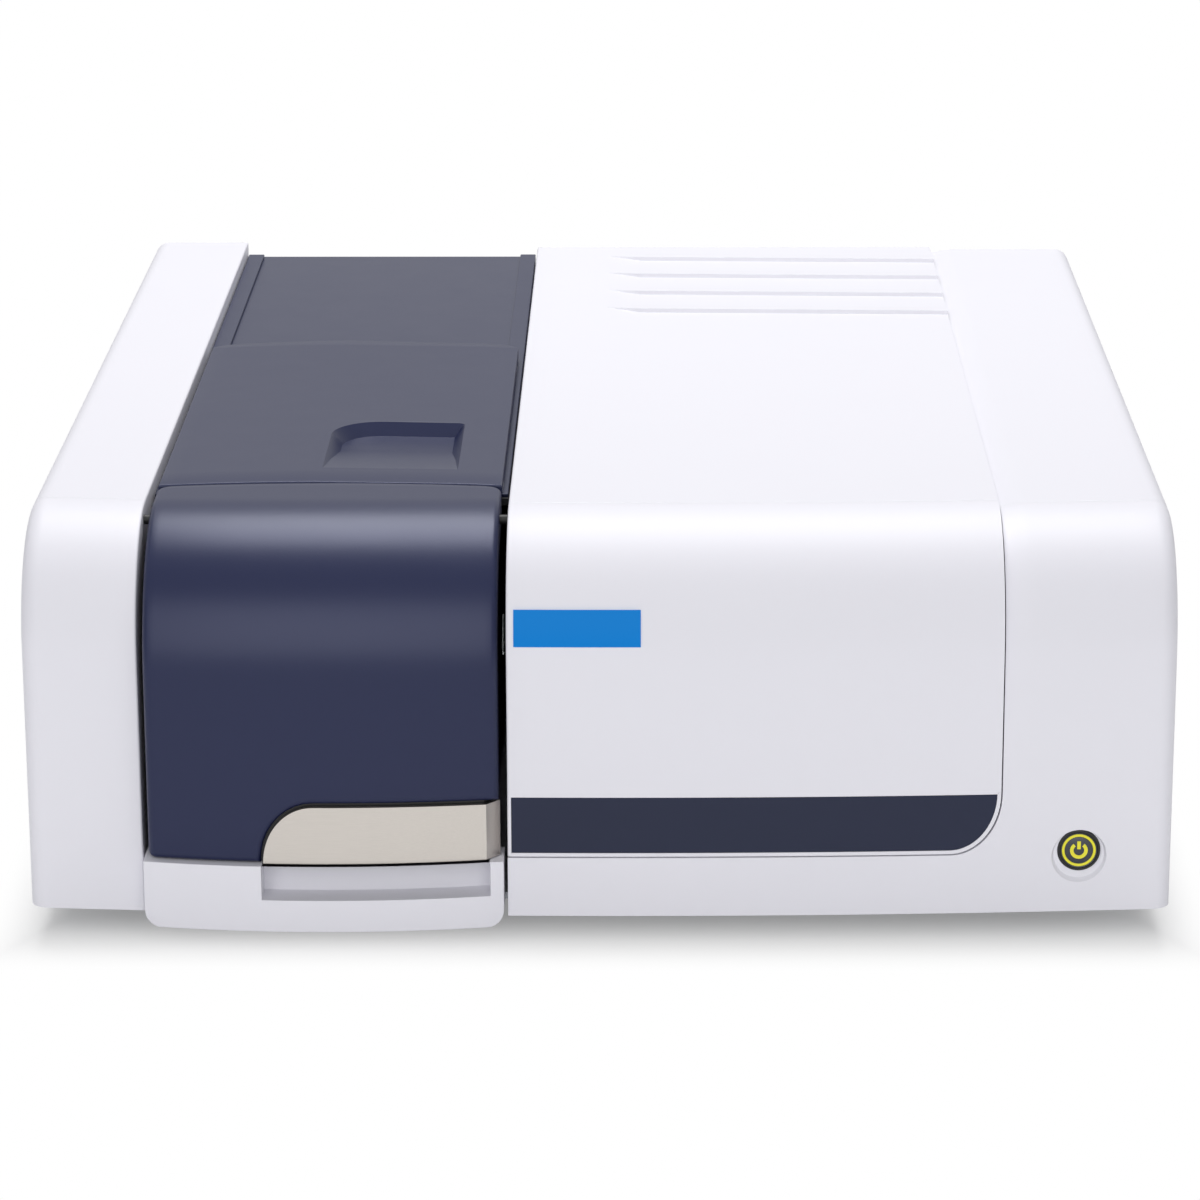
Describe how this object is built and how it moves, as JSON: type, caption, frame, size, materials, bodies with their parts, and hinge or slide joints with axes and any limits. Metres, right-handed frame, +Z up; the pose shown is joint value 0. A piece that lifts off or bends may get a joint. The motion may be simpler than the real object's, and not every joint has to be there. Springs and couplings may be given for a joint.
{
  "type": "spectrophotometer",
  "caption": "Bench-top ultraviolet and visible spectrophotometer with a sliding compartment lid, a swing-up front door and a full optics bench inside.",
  "frame": {"origin": "on the bench, under the middle of the case", "axes": "+X to the right of a person at the front, +Y to the back, +Z up; the front faces -Y"},
  "size_m": [0.477, 0.567, 0.184],
  "materials": {
    "white_shell": "satin white",
    "slate_panel": "fine-grained satin slate blue",
    "slate_stripe": "smooth slate blue",
    "label_blue": "plain blue",
    "brushed_handle": "brushed along X",
    "black_plastic": "matt black",
    "yellow_light": "translucent yellow",
    "button_face": "dark satin",
    "sheet_steel": "zinc grey",
    "black_paint": "black powder coat",
    "bare_aluminium": "machined",
    "bright_steel": "ground",
    "soft_rubber": "matt",
    "seal_foam": "foam",
    "quartz": "polished",
    "filter_glass": "tinted",
    "mirror_coat": "front-surface coated",
    "board_green": "solder mask",
    "glide_plastic": "natural acetal"
  },
  "bodies": {
    "instrument": {"base_tray": "sheet_steel", "feet": "soft_rubber", "case_screws": "bright_steel", "left_housing": "white_shell", "right_housing": "white_shell", "centre_cover": "white_shell", "front_stripe": "slate_stripe", "label_plate": "label_blue", "rear_deck": "slate_panel", "slide_rails": "slate_panel", "compartment_tub": "black_paint", "beam_windows": "quartz", "sample_base": "bare_aluminium", "cell_holder": "black_paint", "front_bumper": "white_shell", "door_pivots": "black_plastic", "door_stops": "soft_rubber", "door_magnets": "black_plastic", "button_bezel": "black_plastic", "button_switch": "black_plastic", "detector_stand": "sheet_steel", "sample_detector": "bare_aluminium", "reference_detector": "bare_aluminium", "detector_lenses": "quartz", "optics_bench": "bare_aluminium", "bench_mounts": "soft_rubber", "lamp_housing": "black_paint", "flash_lamp": "quartz", "filter_motor": "bright_steel", "fold_mirror": "mirror_coat", "beam_splitter": "quartz", "curved_mirrors": "mirror_coat", "mirror_mounts": "bare_aluminium", "slit_plates": "black_paint", "grating_motor": "bright_steel", "optics_cover": "black_paint", "board_standoffs": "bright_steel", "main_board": "board_green", "power_supply": "sheet_steel", "rear_panel": "sheet_steel", "mains_inlet": "black_plastic", "switch_frame": "black_plastic", "usb_socket": "bright_steel", "fan_frame": "black_plastic", "fan_guard": "bright_steel"},
    "lid": {"sliding_lid": "slate_panel", "lid_glides": "glide_plastic", "lid_seal": "seal_foam"},
    "door": {"front_door": "slate_panel", "door_handle": "brushed_handle", "door_strikes": "bright_steel"},
    "button": {"power_button": "button_face", "light_ring": "yellow_light", "power_mark": "yellow_light"},
    "rocker": {"mains_rocker": "black_plastic"},
    "fan": {"fan_rotor": "black_plastic"},
    "filters_wheel": {"filter_wheel": "black_paint", "filters": "filter_glass"},
    "table": {"grating_table": "bare_aluminium", "grating": "mirror_coat"}
  },
  "joints": [
    {"name": "lid_slide", "type": "slide", "parent": "instrument", "child": "lid", "axis": [0, 1, 0], "range_m": [0, 0.19]},
    {"name": "door_swing", "type": "hinge", "parent": "instrument", "child": "door", "pos_m": [-0.11425, -0.225, 0.176], "axis": [-1, 0, 0], "range_deg": [0, 95]},
    {"name": "power_press", "type": "slide", "parent": "instrument", "child": "button", "axis": [0, 1, 0], "range_m": [0, 0.002], "stiffness_N_per_m": 400},
    {"name": "mains_rock", "type": "hinge", "parent": "instrument", "child": "rocker", "pos_m": [0.205, 0.27, 0.082], "axis": [1, 0, 0], "range_deg": [-14, 0]},
    {"name": "fan_spin", "type": "hinge", "parent": "instrument", "child": "fan", "pos_m": [0.06, 0.26, 0.115], "axis": [0, 1, 0], "continuous": true},
    {"name": "filter_turn", "type": "hinge", "parent": "instrument", "child": "filters_wheel", "pos_m": [0.032, 0.12, 0.09], "axis": [0, 1, 0], "continuous": true},
    {"name": "grating_turn", "type": "hinge", "parent": "instrument", "child": "table", "pos_m": [0.05, -0.015, 0.09], "axis": [0, 0, 1], "range_deg": [-20, 20]}
  ]
}
